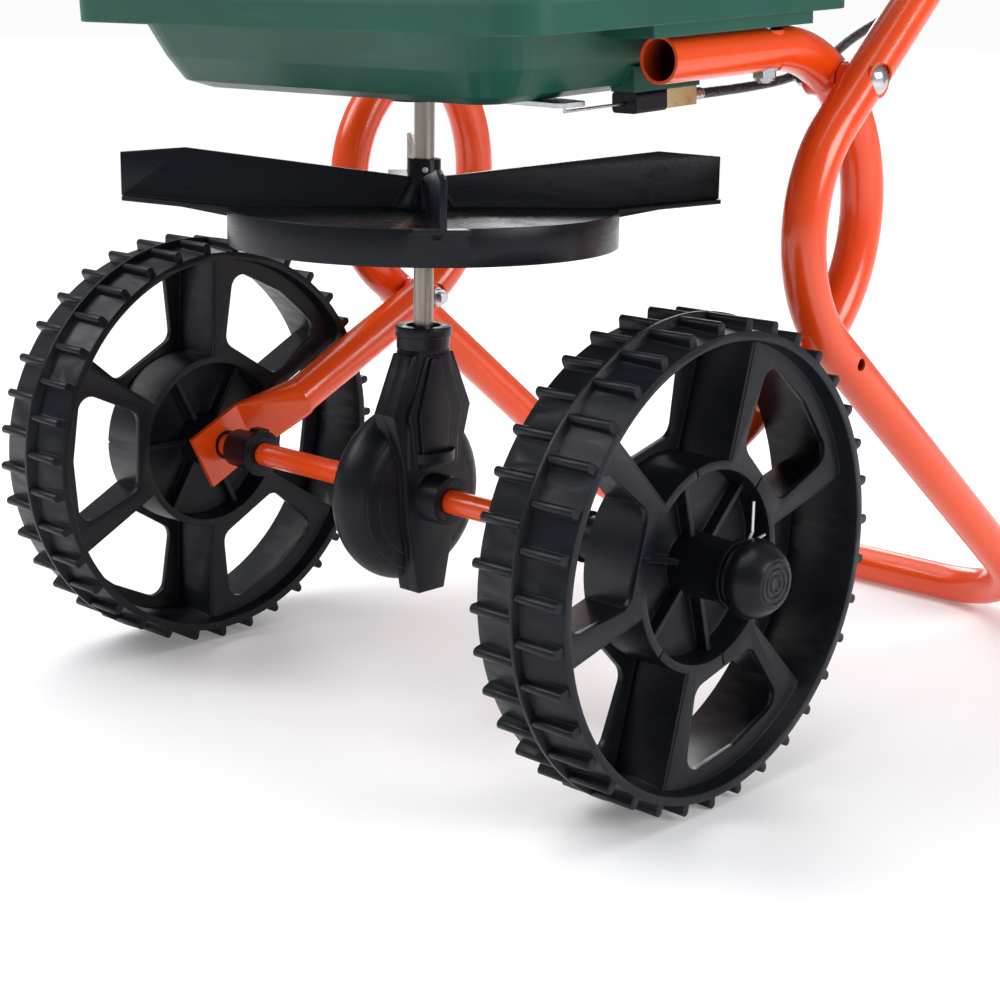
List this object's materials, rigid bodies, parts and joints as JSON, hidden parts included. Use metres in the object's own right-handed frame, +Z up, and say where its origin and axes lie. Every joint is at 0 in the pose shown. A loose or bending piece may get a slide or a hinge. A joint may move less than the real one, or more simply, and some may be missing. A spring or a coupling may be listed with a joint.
{
  "type": "broadcast spreader",
  "caption": "Push broadcast spreader: moulded hopper on a bent tube frame, with a wheel-driven impeller and a hand lever for its shutter.",
  "frame": {"origin": "middle of the whole machine's footprint, on the ground that the wheels and the stand rest on", "axes": "+X to the machine's right along the axle, -Y forward, +Z up"},
  "size_m": [0.4602, 0.7928, 0.9009],
  "materials": {
    "frame_paint": "gloss",
    "hopper_plastic": "satin",
    "black_plastic": "satin",
    "zinc_steel": "bright zinc",
    "yellow_zinc": "satin",
    "gear_metal": "greased",
    "cable_cover": "satin",
    "foam": "matte foam"
  },
  "bodies": {
    "chassis": {"stand_handle_tube": "frame_paint", "left_rail_tube": "frame_paint", "right_rail_tube": "frame_paint", "upper_handle": "frame_paint", "handle_grip": "foam", "cross_bolts": "zinc_steel", "cross_nuts": "zinc_steel", "handle_bolts": "zinc_steel", "handle_nuts": "zinc_steel", "hopper": "hopper_plastic", "hopper_screws": "zinc_steel", "hopper_nuts": "zinc_steel", "floor_bushing": "black_plastic", "cable_block": "black_plastic", "cable_clamp": "yellow_zinc", "cable_sheath": "cable_cover", "lever_housing": "black_plastic", "housing_screws": "zinc_steel", "lever_pivot": "zinc_steel", "gearbox_left": "black_plastic", "gearbox_right": "black_plastic", "gearbox_screws": "zinc_steel", "gearbox_collar": "black_plastic", "lower_bearing": "black_plastic", "axle_bushings": "black_plastic"},
    "axle": {"axle": "frame_paint", "axle_collars": "black_plastic", "crown_gear": "gear_metal", "hub_caps": "black_plastic", "retaining_clips": "zinc_steel", "right_wheel": "black_plastic"},
    "left_wheel": {"left_wheel": "black_plastic"},
    "impeller": {"impeller_shaft": "zinc_steel", "impeller": "black_plastic", "impeller_pin": "zinc_steel", "pinion": "gear_metal", "agitator": "zinc_steel"},
    "shutter": {"shutter": "zinc_steel"},
    "wire": {"inner_wire": "zinc_steel"},
    "lever": {"control_lever": "black_plastic"}
  },
  "joints": [
    {"name": "axle_spin", "type": "hinge", "parent": "chassis", "child": "axle", "pos_m": [0, -0.2327, 0.114], "axis": [1, 0, 0], "continuous": true},
    {"name": "left_wheel_spin", "type": "hinge", "parent": "chassis", "child": "left_wheel", "pos_m": [-0.177, -0.2327, 0.114], "axis": [1, 0, 0], "continuous": true},
    {"name": "impeller_spin", "type": "hinge", "parent": "chassis", "child": "impeller", "pos_m": [0.0082, -0.2327, 0.252], "axis": [0, 0, 1], "continuous": true},
    {"name": "lever_swing", "type": "hinge", "parent": "chassis", "child": "lever", "pos_m": [0.1388, 0.25648, 0.73782], "axis": [-1, 0, 0], "range_deg": [0, 60]},
    {"name": "shutter_swing", "type": "hinge", "parent": "chassis", "child": "shutter", "pos_m": [0.0082, -0.2327, 0.318], "axis": [0, -0.0558, 0.9984], "range_deg": [0, 16]},
    {"name": "wire_pull", "type": "slide", "parent": "chassis", "child": "wire", "axis": [0, 0.9984, 0.0558], "range_m": [0, 0.02923]}
  ],
  "couplings": [
    {"joint": "impeller_spin", "follows": "axle_spin", "ratio": 4},
    {"joint": "shutter_swing", "follows": "lever_swing", "ratio": 0.2666},
    {"joint": "wire_pull", "follows": "lever_swing", "m_per_rad": 0.027914}
  ]
}
